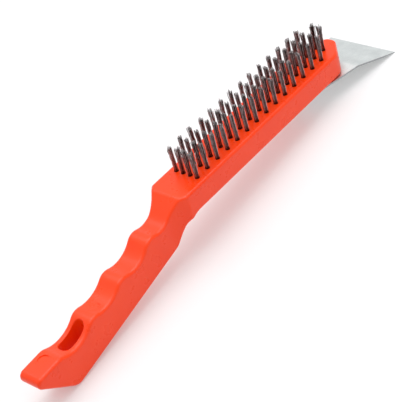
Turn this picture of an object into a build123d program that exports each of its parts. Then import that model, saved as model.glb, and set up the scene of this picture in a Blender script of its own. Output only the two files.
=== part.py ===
"""Wire brush with a scraper: moulded plastic handle, staple-set wire tufts and a sheet-steel blade.

The handle is laid out in the bristle face's own frame: its origin is the middle of the first tuft
column on the face, x runs towards the scraper, y across the head and z along the wires.
The brush lies on its back, on the heel of the handle and the blade's edge, with the wires up, so
that frame is tipped down towards the scraper and everything is built straight onto tipped planes.
"""

from build123d import *
from math import asin, atan2, cos, degrees, hypot, radians, sin, tan
import os

os.makedirs("parts", exist_ok=True)

# ---------------------------------------------------------------- driving dimensions, millimetres
# Tufts
column_pitch = 9.0
row_pitch = 5.1
full_columns = 14
rows = 4
end_column_rows = (1, 2)
free_length = 17.6
tuft_radius = 1.4
tuft_spread = 1.1
hole_radius = 1.45
hole_depth = 9.0

# Anchors: a piece of flat wire across the bottom of each hole, which the tuft is folded over
anchor_length = 4.4
anchor_thickness = 0.5
anchor_height = 2.0
anchor_lift = 0.6
fit_gap = 0.04

# Head and handle, seen from above
head_width = 26.4
neck_width = 14.6
tail_width = 15.8
shoulder_x = -15.8
neck_x = -23.2
shoulder_radius = 3.0
neck_radius = 18.0
nose_corner_x = 126.0
nose_corner_radius = 9.0
nose_tip_x = 137.8
nose_tip_width = 6.0
nose_tip_radius = 4.0

# Head and handle, seen from the side: (x, z) from the bristle face
head_edge = (-18.5, 0.0)
head_edge_radius = 4.0
scoop_start = (-27.6, -7.9)
groove_floors = [(-60.6, -18.0), (-86.5, -23.5), (-112.0, -29.8)]
ridges = [(-45.1, -6.6), (-70.6, -14.5), (-96.2, -20.8), (-121.9, -26.9)]
ridge_radius = 8.0
tail_corner = (-146.4, -28.4)
tail_radius = 3.7
heel_corner = (-118.1, -51.5)
heel_radius = 7.5
throat_corner = (-26.0, -29.4)
throat_radius = 8.0
neck_corner_x = -14.7
neck_corner_radius = 13.0
seat_depth = 14.5
edge_radius = 1.8

# Hang slot and ejector-pin marks
slot_x = -107.0
slot_length = 18.4
slot_width = 8.0
slot_rim_radius = 0.7
ejector_radius = 3.6
ejector_reach = 3.0
ejector_marks = [(-127.2, 0.8, -27.5, -1.5, 0.0), (-88.3, -1.1, -23.25, 9.0, 5.4)]

# Scraper blade
blade_thickness = 1.0
blade_root_x = 95.0
blade_root_half = 7.7
blade_root_corner = 3.0
blade_hole_radius = 1.8
blade_front_x = 164.6
blade_width = 48.4
blade_bend_x = 136.5
blade_bend_radius = 6.0
blade_drop = 14.5
blade_bevel_length = 9.0
blade_edge_thickness = 0.25

# Scraper screws: pan heads driven up from below
screw_x = 11.5 * column_pitch
screw_spread = 2 * row_pitch
screw_core_radius = 1.5
screw_length = 8.0
screw_head_radius = 3.3
screw_head_height = 2.2
screw_head_rounding = 1.2
screw_point_length = 1.6
screw_point_taper = 30
screw_recess_width = 0.9
screw_recess_span = 3.6
screw_recess_depth = 1.3


# ---------------------------------------------------------------- how the brush lies
def fillet_centre(corner, before, after, radius):
    """The centre of a fillet of that radius in the corner between two neighbouring points."""
    angle_in = atan2(before[1] - corner[1], before[0] - corner[0])
    angle_out = atan2(after[1] - corner[1], after[0] - corner[0])
    half = (angle_in - angle_out) / 2
    middle = (angle_in + angle_out) / 2
    reach = radius / abs(sin(half))
    return (corner[0] + reach * cos(middle), corner[1] + reach * sin(middle))


drop = radians(blade_drop)
blade_front_run = blade_front_x - blade_bend_x
blade_top_front = (blade_front_x, -seat_depth - blade_front_run * tan(drop))
blade_low_front = (
    blade_top_front[0] - blade_edge_thickness * sin(drop),
    blade_top_front[1] - blade_edge_thickness * cos(drop),
)
blade_bevel_start = (
    blade_top_front[0] - blade_bevel_length * cos(drop) - blade_thickness * sin(drop),
    blade_top_front[1] + blade_bevel_length * sin(drop) - blade_thickness * cos(drop),
)
heel_centre = fillet_centre(heel_corner, tail_corner, throat_corner, heel_radius)
tail_centre = fillet_centre(tail_corner, heel_corner, ridges[-1], tail_radius)

heel_to_blade = (blade_low_front[0] - heel_centre[0], blade_low_front[1] - heel_centre[1])
tip = atan2(heel_to_blade[1], heel_to_blade[0]) + asin(heel_radius / hypot(*heel_to_blade))


def along(point):
    """How far along the table a point of the bristle face's frame lies, from that frame's origin."""
    return point[0] * cos(tip) + point[1] * sin(tip)


def above(point):
    """How high a point of the bristle face's frame lies over that frame's origin."""
    return point[1] * cos(tip) - point[0] * sin(tip)


back_end = along(tail_centre) - tail_radius
front_end = along(blade_top_front)
face_origin = (-(back_end + front_end) / 2, 0, heel_radius - above(heel_centre))
face = Plane(origin=face_origin, x_dir=(cos(tip), 0, -sin(tip)), z_dir=(sin(tip), 0, cos(tip)))
side = Plane(origin=face_origin, x_dir=(cos(tip), 0, -sin(tip)), z_dir=(0, -1, 0))
wires_up = Axis(face_origin, (sin(tip), 0, cos(tip)))
print(f"tipped {degrees(tip):.2f} degrees, face origin at {face_origin}")

# ---------------------------------------------------------------- where the tufts stand
all_rows = range(rows)
columns = [(number * column_pitch, all_rows) for number in range(full_columns)]
columns.append((full_columns * column_pitch, end_column_rows))


def tuft_places(x, row_numbers):
    """The middles of a column's tufts on the bristle face."""
    return [(x, (row - (rows - 1) / 2) * row_pitch) for row in row_numbers]


every_tuft = [place for x, row_numbers in columns for place in tuft_places(x, row_numbers)]
screw_places = [(screw_x, -screw_spread / 2), (screw_x, screw_spread / 2)]

# ---------------------------------------------------------------- handle and head, one moulding
with BuildPart() as handle_block:
    # The side view: a flat head, four finger grooves, a slanted tail and a straight back
    with BuildSketch(side) as side_view:
        with BuildLine():
            Line((nose_tip_x, 0), head_edge)
            slope = Line(head_edge, scoop_start)
            TangentArc(scoop_start, ridges[0], tangent=slope % 1)
            for ridge, floor, next_ridge in zip(ridges, groove_floors, ridges[1:]):
                ThreePointArc(ridge, floor, next_ridge)
            Polyline(
                ridges[-1],
                tail_corner,
                heel_corner,
                throat_corner,
                (neck_corner_x, -seat_depth),
                (nose_tip_x, -seat_depth),
                (nose_tip_x, 0),
            )
        make_face()
        corners = [(ridge, ridge_radius) for ridge in ridges]
        corners += [
            (head_edge, head_edge_radius),
            (tail_corner, tail_radius),
            (heel_corner, heel_radius),
            (throat_corner, throat_radius),
            ((neck_corner_x, -seat_depth), neck_corner_radius),
        ]
        for corner, radius in corners:
            fillet(side_view.vertices().sort_by_distance(corner)[0], radius)
    extrude(amount=head_width, both=True)

    # The view from above: a blunt nose, straight head, swept shoulders and a slim handle
    with BuildSketch(face.offset(1)) as top_view:
        with BuildLine():
            Polyline(
                (nose_tip_x, 0),
                (nose_tip_x, nose_tip_width / 2),
                (nose_corner_x, head_width / 2),
                (shoulder_x, head_width / 2),
                (neck_x, neck_width / 2),
                (tail_corner[0], tail_width / 2),
                (tail_corner[0], 0),
            )
            mirror(about=Plane.XZ)
        make_face()
        outline_corners = [
            (nose_tip_x, nose_tip_width / 2, nose_tip_radius),
            (nose_corner_x, head_width / 2, nose_corner_radius),
            (shoulder_x, head_width / 2, shoulder_radius),
            (neck_x, neck_width / 2, neck_radius),
        ]
        for corner_x, half, radius in outline_corners:
            for y in (half, -half):
                fillet(top_view.vertices().sort_by_distance((corner_x, y))[0], radius)
    extrude(amount=heel_corner[1] - head_width, mode=Mode.INTERSECT)

    # Every rim along the sides is rounded; edges across the width and up the walls are not
    across = Axis.Y.direction
    rims = handle_block.edges().filter_by(
        lambda edge: abs((edge @ 1 - edge @ 0).normalized().dot(across)) < 0.98
        and abs((edge @ 1 - edge @ 0).normalized().dot(face.z_dir)) < 0.995
    )
    fillet(rims, edge_radius)

    # Blind holes for the tufts, each with a slit that its anchor is driven into
    with BuildSketch(face):
        with Locations(*every_tuft):
            Circle(hole_radius)
    extrude(amount=-hole_depth, mode=Mode.SUBTRACT)
    with BuildSketch(face.offset(anchor_lift - hole_depth)):
        with Locations(*every_tuft):
            Rectangle(anchor_length + 2 * fit_gap, anchor_thickness + 2 * fit_gap)
    extrude(amount=anchor_height + fit_gap, mode=Mode.SUBTRACT)

    # Hang slot through the last groove, with soft rims
    with BuildSketch(face):
        with Locations((slot_x, 0)):
            SlotOverall(slot_length, slot_width)
    extrude(amount=2 * heel_corner[1], mode=Mode.SUBTRACT)
    slot_rims = handle_block.edges().filter_by(
        lambda edge: abs(face.to_local_coords(edge.center()).X - slot_x) < slot_length / 2 + 0.1
        and abs(face.to_local_coords(edge.center()).Y) < slot_width / 2 + 0.1
        and abs((edge @ 1 - edge @ 0).normalized().dot(face.z_dir)) < 0.9
    )
    fillet(slot_rims, slot_rim_radius)

    # Round prints of the ejector pins, pressed a little askew into the finger side
    for mark_x, mark_y, mark_z, roll, pitch in ejector_marks:
        print_plane = Plane(face.from_local_coords(Vector(mark_x, mark_y, mark_z)), face.x_dir, face.z_dir)
        with BuildSketch(print_plane.rotated((roll, pitch, 0))):
            Circle(ejector_radius)
        extrude(amount=ejector_reach, mode=Mode.SUBTRACT)

    # Pilot holes for the scraper screws
    with BuildSketch(face.offset(-seat_depth)):
        with Locations(*screw_places):
            Circle(screw_core_radius + fit_gap)
    extrude(amount=screw_length - blade_thickness + fit_gap, mode=Mode.SUBTRACT)

handle_block.part.label = "handle_block"
export_step(handle_block.part, "parts/handle_block.step")

# ---------------------------------------------------------------- scraper blade
low_bend_x = blade_bend_x - blade_thickness * tan(drop / 2)

with BuildPart() as scraper_blade:
    # One strip of sheet, flat under the head, bent down in front of it and ground thin at the edge
    with BuildSketch(side) as blade_section:
        with BuildLine():
            Polyline(
                (blade_root_x, -seat_depth),
                (blade_bend_x, -seat_depth),
                blade_top_front,
                blade_low_front,
                blade_bevel_start,
                (low_bend_x, -seat_depth - blade_thickness),
                (blade_root_x, -seat_depth - blade_thickness),
                close=True,
            )
        make_face()
        upper_bend = blade_section.vertices().sort_by_distance((blade_bend_x, -seat_depth))[0]
        fillet(upper_bend, blade_bend_radius)
        lower_bend = blade_section.vertices().sort_by_distance(
            (low_bend_x, -seat_depth - blade_thickness)
        )[0]
        fillet(lower_bend, blade_bend_radius - blade_thickness)
    extrude(amount=blade_width, both=True)

    # Its outline flares from the root to the scraping edge
    with BuildSketch(face) as blade_outline:
        with BuildLine():
            Polyline(
                (blade_front_x + blade_thickness, 0),
                (blade_front_x + blade_thickness, blade_width / 2),
                (blade_front_x, blade_width / 2),
                (blade_root_x, blade_root_half),
                (blade_root_x, 0),
            )
            mirror(about=Plane.XZ)
        make_face()
        for half in (blade_root_half, -blade_root_half):
            fillet(blade_outline.vertices().sort_by_distance((blade_root_x, half))[0], blade_root_corner)
    extrude(amount=2 * heel_corner[1], mode=Mode.INTERSECT)

    with BuildSketch(face.offset(-seat_depth)):
        with Locations(*screw_places):
            Circle(blade_hole_radius)
    extrude(amount=-blade_thickness, mode=Mode.SUBTRACT)

scraper_blade.part.label = "scraper_blade"
export_step(scraper_blade.part, "parts/scraper_blade.step")

# ---------------------------------------------------------------- scraper screws
under_blade = face.offset(-seat_depth - blade_thickness)

with BuildPart() as scraper_screws:
    with BuildSketch(under_blade):
        with Locations(*screw_places):
            Circle(screw_core_radius)
    extrude(amount=screw_length - screw_point_length)
    with BuildSketch(under_blade.offset(screw_length - screw_point_length)):
        with Locations(*screw_places):
            Circle(screw_core_radius)
    extrude(amount=screw_point_length, taper=screw_point_taper)
    with BuildSketch(under_blade):
        with Locations(*screw_places):
            Circle(screw_head_radius)
    extrude(amount=-screw_head_height)
    head_rims = scraper_screws.edges().filter_by(GeomType.CIRCLE).group_by(wires_up)[0]
    fillet(head_rims, screw_head_rounding)
    with BuildSketch(under_blade.offset(-screw_head_height)):
        with Locations(*screw_places):
            Rectangle(screw_recess_span, screw_recess_width)
            Rectangle(screw_recess_width, screw_recess_span)
    extrude(amount=screw_recess_depth, mode=Mode.SUBTRACT)

scraper_screws.part.label = "scraper_screws"
export_step(scraper_screws.part, "parts/scraper_screws.step")

# ---------------------------------------------------------------- tufts and their anchors
for number, (column_x, row_numbers) in enumerate(columns, start=1):
    places = tuft_places(column_x, row_numbers)

    # Each tuft is a plug of packed wire that opens slightly from the face to its tips
    with BuildPart() as tuft_column:
        with BuildSketch(face.offset(-hole_depth)):
            with Locations(*places):
                Circle(tuft_radius)
        extrude(amount=hole_depth)
        with BuildSketch(face):
            with Locations(*places):
                Circle(tuft_radius)
        extrude(amount=free_length, taper=-tuft_spread)
        with BuildSketch(face.offset(anchor_lift - hole_depth)):
            with Locations(*places):
                Rectangle(anchor_length, anchor_thickness + 2 * fit_gap)
        extrude(amount=anchor_height + fit_gap, mode=Mode.SUBTRACT)
    tuft_column.part.label = f"tuft_column_{number:02d}"
    export_step(tuft_column.part, f"parts/tuft_column_{number:02d}.step")

    with BuildPart() as anchor_column:
        with BuildSketch(face.offset(anchor_lift - hole_depth)):
            with Locations(*places):
                Rectangle(anchor_length, anchor_thickness)
        extrude(amount=anchor_height)
    anchor_column.part.label = f"anchor_column_{number:02d}"
    export_step(anchor_column.part, f"parts/anchor_column_{number:02d}.step")
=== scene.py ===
"""Visual model of a wire brush with a scraper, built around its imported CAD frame.

The moulded handle, the blade, its screws and the tuft anchors are the CAD's own meshes with
procedural materials. Every tuft is replaced by separate wires, each one bent double under its
anchor. All lengths are in metres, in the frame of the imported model.
"""

import math
import random

import bpy
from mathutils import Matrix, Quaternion, Vector


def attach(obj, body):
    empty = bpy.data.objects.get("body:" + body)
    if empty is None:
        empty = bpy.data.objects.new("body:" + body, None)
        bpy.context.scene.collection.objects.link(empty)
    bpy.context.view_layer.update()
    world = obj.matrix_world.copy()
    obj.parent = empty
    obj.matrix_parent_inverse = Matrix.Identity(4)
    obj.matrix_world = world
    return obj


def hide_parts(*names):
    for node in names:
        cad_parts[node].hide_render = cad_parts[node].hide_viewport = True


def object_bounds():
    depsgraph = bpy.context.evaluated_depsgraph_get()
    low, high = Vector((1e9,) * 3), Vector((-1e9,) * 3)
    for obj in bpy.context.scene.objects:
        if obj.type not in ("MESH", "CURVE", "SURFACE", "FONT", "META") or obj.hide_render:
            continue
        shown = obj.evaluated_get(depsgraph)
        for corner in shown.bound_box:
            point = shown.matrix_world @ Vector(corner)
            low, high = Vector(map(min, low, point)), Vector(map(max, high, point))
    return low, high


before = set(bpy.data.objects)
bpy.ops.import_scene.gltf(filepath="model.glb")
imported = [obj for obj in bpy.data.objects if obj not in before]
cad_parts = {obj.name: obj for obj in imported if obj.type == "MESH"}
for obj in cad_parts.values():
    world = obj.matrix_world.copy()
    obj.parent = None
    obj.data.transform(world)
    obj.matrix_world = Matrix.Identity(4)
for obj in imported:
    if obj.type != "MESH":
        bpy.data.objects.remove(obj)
cad_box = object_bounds()

MM = 0.001

# ---------------------------------------------------------------- wires
WIRE_RADIUS = 0.19 * MM
WIRE_PITCH = 0.46 * MM
WIRE_SIDES = 6
BUNDLE_RADIUS = 1.22 * MM
HOLE_DEPTH = 9.0 * MM
ANCHOR_LOW = 0.6 * MM
ANCHOR_HIGH = 2.6 * MM
ANCHOR_CLEARANCE = 0.46 * MM
CRIMP_LENGTH = 4.6 * MM
CRIMP_DEPTH = 0.08 * MM
FREE_STEPS = 22
SHORTEST = 0.91
BROKEN_LENGTHS = (0.86, 0.96)
STRAY_FACTOR = 3.2
LEAN_X = 0.25 * MM
LEAN_Y = 0.20 * MM
ROW_GAP = 1.0 * MM


def tuft_axes(node):
    """(foot, tip) of each tuft of a CAD column: the middles of its lower and upper ends."""
    points = sorted((v.co.copy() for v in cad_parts[node].data.vertices), key=lambda p: p.y)
    groups = [[points[0]]]
    for before, point in zip(points, points[1:]):
        if point.y - before.y > ROW_GAP:
            groups.append([])
        groups[-1].append(point)
    axes = []
    for group in groups:
        lowest = min(p.z for p in group)
        highest = max(p.z for p in group)
        foot = middle([p for p in group if p.z < lowest + 0.4 * MM])
        tip = middle([p for p in group if p.z > highest - 1.0 * MM])
        axes.append((foot, tip))
    return axes


def middle(points):
    """The middle of the points' box."""
    low = Vector([min(p[i] for p in points) for i in range(3)])
    high = Vector([max(p[i] for p in points) for i in range(3)])
    return (low + high) / 2


def half_pattern():
    """Where the wires of one half of a tuft stand: rows of close-packed wires beside the anchor."""
    places = []
    row_gap = WIRE_PITCH * math.sqrt(3) / 2
    y = row_gap / 2
    row = 0
    while y < BUNDLE_RADIUS:
        reach = math.sqrt(BUNDLE_RADIUS**2 - y**2)
        shift = (row % 2) * WIRE_PITCH / 2
        count = int(reach // WIRE_PITCH) + 1
        for k in range(-count, count + 1):
            x = k * WIRE_PITCH + shift
            if abs(x) <= reach + 0.01 * MM:
                places.append((x, y))
        y += row_gap
        row += 1
    return places


def tube(path, verts, faces):
    """Adds a closed tube of the wire's thickness along the path to the lists."""
    start = len(verts)
    side = None
    for i, point in enumerate(path):
        ahead = path[min(i + 1, len(path) - 1)] - path[max(i - 1, 0)]
        ahead.normalize()
        if side is None:
            side = ahead.orthogonal().normalized()
        side = (side - ahead * side.dot(ahead)).normalized()
        across = ahead.cross(side)
        for k in range(WIRE_SIDES):
            turn = 2 * math.pi * k / WIRE_SIDES
            verts.append(point + (side * math.cos(turn) + across * math.sin(turn)) * WIRE_RADIUS)
    for i in range(len(path) - 1):
        for k in range(WIRE_SIDES):
            a = start + i * WIRE_SIDES + k
            b = start + i * WIRE_SIDES + (k + 1) % WIRE_SIDES
            faces.append((a, b, b + WIRE_SIDES, a + WIRE_SIDES))
    last = start + (len(path) - 1) * WIRE_SIDES
    faces.append(tuple(start + k for k in reversed(range(WIRE_SIDES))))
    faces.append(tuple(last + k for k in range(WIRE_SIDES)))


def leg(rng, place, half, free, tuft):
    """One leg of a wire from the anchor's top to its tip, as (x, y, z) in the tuft's own frame."""
    x, y = place[0], place[1] * half
    points = [Vector((x, y, (ANCHOR_HIGH + HOLE_DEPTH) / 2))]
    length = free * rng.uniform(SHORTEST, 1.0) * tuft["cut"]
    if rng.random() < tuft["broken"]:
        length *= rng.uniform(*BROKEN_LENGTHS)
    stray = rng.random() < tuft["strays"]
    jitter = tuft["jitter"] * (STRAY_FACTOR if stray else 1.0)
    off_x = rng.gauss(0, jitter) + tuft["lean_x"]
    off_y = rng.gauss(0, jitter) + tuft["lean_y"]
    power = rng.uniform(1.3, 2.4)
    crimp_way = rng.uniform(0, 2 * math.pi)
    crimp_start = rng.uniform(0, 2 * math.pi)
    depth = CRIMP_DEPTH * rng.uniform(0.6, 1.4)
    for step in range(FREE_STEPS + 1):
        t = step / FREE_STEPS
        opening = 1 + (tuft["splay"] - 1) * t**1.4
        wave = depth * min(1.0, 5 * t) * math.sin(2 * math.pi * t * length / CRIMP_LENGTH + crimp_start)
        px = x * opening + off_x * t**power + wave * math.cos(crimp_way)
        py = y * opening + off_y * t**power + wave * math.sin(crimp_way)
        points.append(Vector((px, py, HOLE_DEPTH + length * t)))
    return points


def wire(rng, index, places, free, tuft):
    """A whole wire: up one side of the anchor, and down the other, as one path."""
    place = places[index]
    first = leg(rng, place, 1, free, tuft)
    second = leg(rng, place, -1, free, tuft)
    squeezed = ANCHOR_CLEARANCE + (place[1] / BUNDLE_RADIUS) * (BUNDLE_RADIUS - ANCHOR_CLEARANCE)
    layer = (0.20 + 0.19 * (index % 2)) * MM
    bend = []
    for y, z in (
        (squeezed, ANCHOR_HIGH),
        (squeezed, ANCHOR_LOW + 0.3 * MM),
        (squeezed * 0.8, ANCHOR_LOW - 0.1 * MM),
        (squeezed * 0.35, layer),
    ):
        bend.append(Vector((place[0] * 0.95, y, z)))
    mirrored = [Vector((p.x, -p.y, p.z)) for p in reversed(bend)]
    return list(reversed(first)) + bend + mirrored + second


def make_tufts(node, material, seed):
    """One mesh with all the wires of a CAD tuft column."""
    rng = random.Random(seed)
    verts, faces, heights = [], [], []
    places = half_pattern()
    axes = tuft_axes(node)
    end_column = len(axes) < 4 or seed == 0
    for foot, tip in axes:
        up = (tip - foot).normalized()
        ahead = Vector((up.z, 0, -up.x))
        across = Vector((0, 1, 0))
        free = (tip - foot).length - HOLE_DEPTH
        tuft = {
            "cut": rng.uniform(0.975, 1.0),
            "splay": rng.uniform(1.02, 1.22) + (0.20 if end_column else 0),
            "jitter": rng.uniform(0.12, 0.26) * MM * (1.5 if end_column else 1),
            "strays": 0.10 if end_column else 0.05,
            "broken": 0.12,
            "lean_x": rng.gauss(0, LEAN_X),
            "lean_y": rng.gauss(0, LEAN_Y),
        }
        for index in range(len(places)):
            path = wire(rng, index, places, free, tuft)
            placed = [foot + ahead * p.x + across * p.y + up * p.z for p in path]
            tube(placed, verts, faces)
            for p in path:
                share = max(0.0, (p.z - HOLE_DEPTH) / free)
                heights.extend([share] * WIRE_SIDES)
    mesh = bpy.data.meshes.new(node + "_wires")
    mesh.from_pydata(verts, [], faces)
    mesh.polygons.foreach_set("use_smooth", [len(f) == 4 for f in faces])
    layer = mesh.attributes.new("height", "FLOAT", "POINT")
    layer.data.foreach_set("value", heights)
    mesh.materials.append(material)
    mesh.validate()
    mesh.update()
    piece = bpy.data.objects.new(node.replace("tuft_column", "wires"), mesh)
    bpy.context.scene.collection.objects.link(piece)
    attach(piece, "root")
    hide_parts(node)


# ---------------------------------------------------------------- materials
class Graph:
    """A procedural material under construction: each method adds a node and returns its output."""

    def __init__(self, name):
        self.material = bpy.data.materials.new(name)
        self.material.use_nodes = True
        self.tree = self.material.node_tree
        self.shader = self.tree.nodes["Principled BSDF"]
        ways = self.node("ShaderNodeTexCoord").outputs
        self.place = ways["Object"]
        self.facing = ways["Normal"]

    def node(self, kind, inputs=(), **settings):
        made = self.tree.nodes.new(kind)
        for key, value in settings.items():
            setattr(made, key, value)
        for key, value in dict(inputs).items():
            if isinstance(value, bpy.types.NodeSocket):
                self.tree.links.new(value, made.inputs[key])
            else:
                made.inputs[key].default_value = value
        return made

    def set(self, **values):
        """Sets the shader's own sockets: spaces in their names are written as underscores."""
        for key, value in values.items():
            socket = self.shader.inputs[key.replace("_", " ")]
            if isinstance(value, bpy.types.NodeSocket):
                self.tree.links.new(value, socket)
            else:
                socket.default_value = value

    def stretched(self, scale):
        return self.node("ShaderNodeMapping", {"Vector": self.place, "Scale": scale}).outputs[0]

    def noise(self, per_metre, detail=3.0, rough=0.55, where=None, twist=0.0):
        return self.node(
            "ShaderNodeTexNoise",
            {
                "Vector": where or self.place,
                "Scale": per_metre,
                "Detail": detail,
                "Roughness": rough,
                "Distortion": twist,
            },
        ).outputs["Fac"]

    def remap(self, value, low, high, to_low=0.0, to_high=1.0):
        return self.node(
            "ShaderNodeMapRange",
            {
                "Value": value,
                "From Min": low,
                "From Max": high,
                "To Min": to_low,
                "To Max": to_high,
            },
        ).outputs[0]

    def maths(self, operation, a, b=0.0):
        return self.node("ShaderNodeMath", {0: a, 1: b}, operation=operation).outputs[0]

    def mix(self, share, a, b):
        made = self.node("ShaderNodeMix", data_type="RGBA")
        for socket, value in ((made.inputs[0], share), (made.inputs[6], a), (made.inputs[7], b)):
            if isinstance(value, bpy.types.NodeSocket):
                self.tree.links.new(value, socket)
            else:
                socket.default_value = value
        return made.outputs[2]

    def bump(self, height, strength, depth, below=None):
        inputs = {"Height": height, "Strength": strength, "Distance": depth}
        if below is not None:
            inputs["Normal"] = below
        return self.node("ShaderNodeBump", inputs).outputs[0]


def colour(red, green, blue):
    return (red, green, blue, 1.0)


def plastic_material():
    """Satin moulded polypropylene: slow flow marks, faint sink marks and a fine mould texture."""
    g = Graph("orange_plastic")
    flow = g.remap(g.noise(28.0, 2.0, 0.5, twist=0.6), 0.3, 0.7)
    base = g.mix(flow, colour(0.93, 0.045, 0.0008), colour(0.97, 0.052, 0.0014))
    satin = g.remap(g.noise(120.0, 4.0), 0.3, 0.7, 0.25, 0.34)
    sink = g.bump(g.noise(45.0, 1.0), 0.10, 0.0005)
    grain = g.bump(g.noise(2600.0, 2.0), 0.05, 0.00006, sink)
    g.set(Base_Color=base, Roughness=satin, Normal=grain, IOR=1.43)
    return g.material


def blade_material():
    """Dull zinc-coated sheet: faint spangle, rolling marks along x, fine pits, and sheared edges
    painted dark grey, partly for rougher cut steel and partly as painted shade.
    """
    g = Graph("zinc_sheet")
    cloud = g.remap(g.noise(110.0, 4.0, 0.6), 0.3, 0.7)
    rolled = g.remap(g.noise(900.0, 3.0, 0.6, g.stretched((0.05, 1.0, 1.0))), 0.3, 0.7)
    base = g.mix(cloud, colour(0.66, 0.695, 0.69), colour(0.79, 0.82, 0.81))
    base = g.mix(g.maths("MULTIPLY", rolled, 0.35), base, colour(0.62, 0.645, 0.64))
    pits = g.remap(g.noise(1400.0, 2.0), 0.62, 0.72)
    base = g.mix(g.maths("MULTIPLY", pits, 0.3), base, colour(0.33, 0.34, 0.34))
    # Faces that point neither up nor down, the sheet's sheared edges, get painted shade: dark grey,
    # partly also for the rougher cut steel
    upward = g.maths("ABSOLUTE", g.node("ShaderNodeSeparateXYZ", {0: g.facing}).outputs["Z"])
    base = g.mix(g.remap(upward, 0.3, 0.6), colour(0.34, 0.35, 0.36), base)
    rough = g.maths("ADD", g.remap(cloud, 0.0, 1.0, 0.36, 0.46), g.maths("MULTIPLY", rolled, 0.08))
    wavy = g.bump(g.noise(70.0, 2.0), 0.3, 0.0005)
    lines = g.bump(rolled, 0.12, 0.00006, wavy)
    g.set(Base_Color=base, Metallic=1.0, Roughness=rough, Normal=lines)
    return g.material


def screw_material():
    """Bright zinc plating with a little dust in its texture."""
    g = Graph("zinc_plating")
    cloud = g.remap(g.noise(700.0, 3.0), 0.3, 0.7)
    base = g.mix(cloud, colour(0.60, 0.61, 0.60), colour(0.74, 0.75, 0.73))
    g.set(
        Base_Color=base,
        Metallic=1.0,
        Roughness=g.remap(g.noise(1500.0), 0.3, 0.7, 0.25, 0.38),
        Normal=g.bump(g.noise(2500.0), 0.1, 0.00005),
    )
    return g.material


def anchor_material():
    """Bright flat wire."""
    g = Graph("anchor_steel")
    cloud = g.remap(g.noise(1200.0, 3.0), 0.3, 0.7)
    g.set(
        Base_Color=g.mix(cloud, colour(0.42, 0.41, 0.40), colour(0.58, 0.57, 0.55)),
        Metallic=1.0,
        Roughness=g.remap(g.noise(2500.0), 0.3, 0.7, 0.3, 0.45),
        Normal=g.bump(g.noise(3000.0), 0.1, 0.00004),
    )
    return g.material


def wire_material():
    """Oil-tempered steel wire: dark brown-grey, each wire its own tone, with pale tips (newly cut steel
    and a painted highlight) and roots painted near-black as shade.
    """
    g = Graph("tuft_wire")
    island = g.node("ShaderNodeNewGeometry").outputs["Random Per Island"]
    height = g.node("ShaderNodeAttribute", attribute_name="height").outputs["Fac"]
    shade = g.remap(island, 0.0, 1.0)
    base = g.mix(g.maths("POWER", shade, 2.0), colour(0.065, 0.046, 0.045), colour(0.74, 0.68, 0.68))
    smut = g.remap(g.noise(900.0, 3.0), 0.42, 0.62)
    base = g.mix(g.maths("MULTIPLY", smut, 0.45), base, colour(0.06, 0.045, 0.042))
    # Pale tips: partly newly cut steel, partly a painted highlight of the bright surroundings
    cut_and_highlit_tips = g.remap(height, 0.90, 0.98, 0.0, 0.55)
    base = g.mix(cut_and_highlit_tips, base, colour(0.66, 0.63, 0.63))
    # Painted shade: the lowest part of each wire darkens to near-black, where the tuft and its hole
    # shade it
    root = g.remap(height, 0.0, 0.12, 0.85, 0.0)
    base = g.mix(root, base, colour(0.012, 0.006, 0.006))
    g.set(
        Base_Color=base,
        Metallic=1.0,
        Roughness=g.remap(g.noise(1500.0), 0.3, 0.7, 0.26, 0.44),
        Normal=g.bump(g.noise(2500.0, 2.0), 0.15, 0.00004),
    )
    return g.material


def floor_material():
    """A white table lit faintly from within, which keeps its shadows pale."""
    g = Graph("white_table")
    cloud = g.noise(3.0, 2.0)
    g.set(
        Base_Color=g.mix(cloud, colour(0.62, 0.62, 0.625), colour(0.64, 0.64, 0.64)),
        Roughness=0.9,
        Specular_IOR_Level=0.1,
        Emission_Color=colour(1.0, 1.0, 1.0),
        Emission_Strength=0.24,
    )
    return g.material


def dress(node, material):
    """Gives a CAD node that stays in view its material."""
    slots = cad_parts[node].data.materials
    slots.clear()
    slots.append(material)


dress("handle_block", plastic_material())
dress("scraper_blade", blade_material())
dress("scraper_screws", screw_material())
anchor_steel = anchor_material()
tuft_wire = wire_material()
for name in sorted(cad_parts):
    if name.startswith("anchor_column"):
        dress(name, anchor_steel)
    if name.startswith("tuft_column"):
        make_tufts(name, tuft_wire, int(name[-2:]) - 1)

# ---------------------------------------------------------------- floor, light and camera
FLOOR_HALF = 3.0
floor_mesh = bpy.data.meshes.new("floor")
floor_mesh.from_pydata(
    [(x * FLOOR_HALF, y * FLOOR_HALF, cad_box[0].z) for x, y in ((-1, -1), (1, -1), (1, 1), (-1, 1))],
    [],
    [(0, 1, 2, 3)],
)
floor_mesh.materials.append(floor_material())
floor = bpy.data.objects.new("floor", floor_mesh)
bpy.context.scene.collection.objects.link(floor)

# A soft white sky, brightest towards the back of the studio and dimmest over the viewer
SKY_BRIGHTEST_WAY = (0.24, 0.66, 0.71)
SKY_LEVELS = {"From Min": 0.2, "From Max": 1.0, "To Min": 0.55, "To Max": 1.0}

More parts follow.
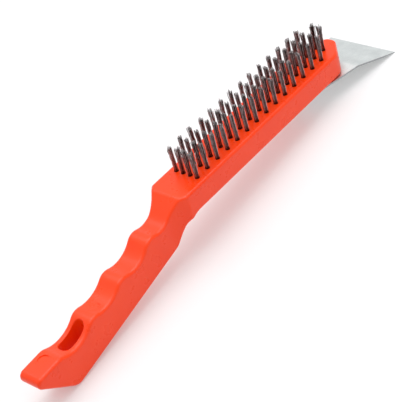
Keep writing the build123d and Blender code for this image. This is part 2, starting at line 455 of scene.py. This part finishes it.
world = bpy.data.worlds.new("studio")
world.use_nodes = True
sky = world.node_tree.nodes
sky_ways = sky.new("ShaderNodeTexCoord")
sky_back = sky.new("ShaderNodeVectorMath")
sky_back.operation = "DOT_PRODUCT"
sky_back.inputs[1].default_value = SKY_BRIGHTEST_WAY
sky_level = sky.new("ShaderNodeMapRange")
for socket_name, level in SKY_LEVELS.items():
    sky_level.inputs[socket_name].default_value = level
world.node_tree.links.new(sky_ways.outputs["Generated"], sky_back.inputs[0])
world.node_tree.links.new(sky_back.outputs["Value"], sky_level.inputs["Value"])
world.node_tree.links.new(sky_level.outputs[0], sky["Background"].inputs["Strength"])
sky["Background"].inputs["Color"].default_value = colour(0.98, 0.99, 1.0)
bpy.context.scene.world = world


def softbox(name, azimuth, elevation, distance, size, power):
    """A white square area light that faces the origin from that direction, in degrees."""
    a, e = math.radians(azimuth), math.radians(elevation)
    towards = Vector((math.cos(a) * math.cos(e), math.sin(a) * math.cos(e), math.sin(e)))
    lamp = bpy.data.lights.new(name, "AREA")
    lamp.size = size
    lamp.energy = power
    stand = bpy.data.objects.new(name, lamp)
    stand.location = towards * distance
    stand.rotation_mode = "QUATERNION"
    stand.rotation_quaternion = (-towards).to_track_quat("-Z", "Y")
    bpy.context.scene.collection.objects.link(stand)


softbox("key_light", azimuth=50.0, elevation=80.0, distance=1.4, size=1.3, power=12.0)
softbox("fill_light", azimuth=-80.0, elevation=42.0, distance=1.6, size=1.2, power=2.7)
softbox("rim_light", azimuth=4.0, elevation=61.0, distance=1.4, size=0.42, power=1.6)

CAMERA_TARGET = Vector((-0.01015, -0.0047, 0.020))
CAMERA_HEADING = 53.885
CAMERA_DROP = 40.867
CAMERA_ROLL = -23.068
CAMERA_DISTANCE = 0.7752
LENS = 124.55
SENSOR = 36.0

heading, camera_drop = math.radians(CAMERA_HEADING), math.radians(CAMERA_DROP)
looking = Vector(
    (
        math.cos(heading) * math.cos(camera_drop),
        math.sin(heading) * math.cos(camera_drop),
        -math.sin(camera_drop),
    )
)
camera_data = bpy.data.cameras.new("camera")
camera_data.lens = LENS
camera_data.sensor_width = SENSOR
camera_data.clip_start = 0.01
camera_data.clip_end = 50.0
camera = bpy.data.objects.new("camera", camera_data)
camera.location = CAMERA_TARGET - looking * CAMERA_DISTANCE
camera.rotation_mode = "QUATERNION"
camera.rotation_quaternion = looking.to_track_quat("-Z", "Y") @ Quaternion(
    (0, 0, 1), math.radians(CAMERA_ROLL)
)
bpy.context.scene.collection.objects.link(camera)
bpy.context.scene.camera = camera
bpy.context.scene.view_settings.view_transform = "Standard"
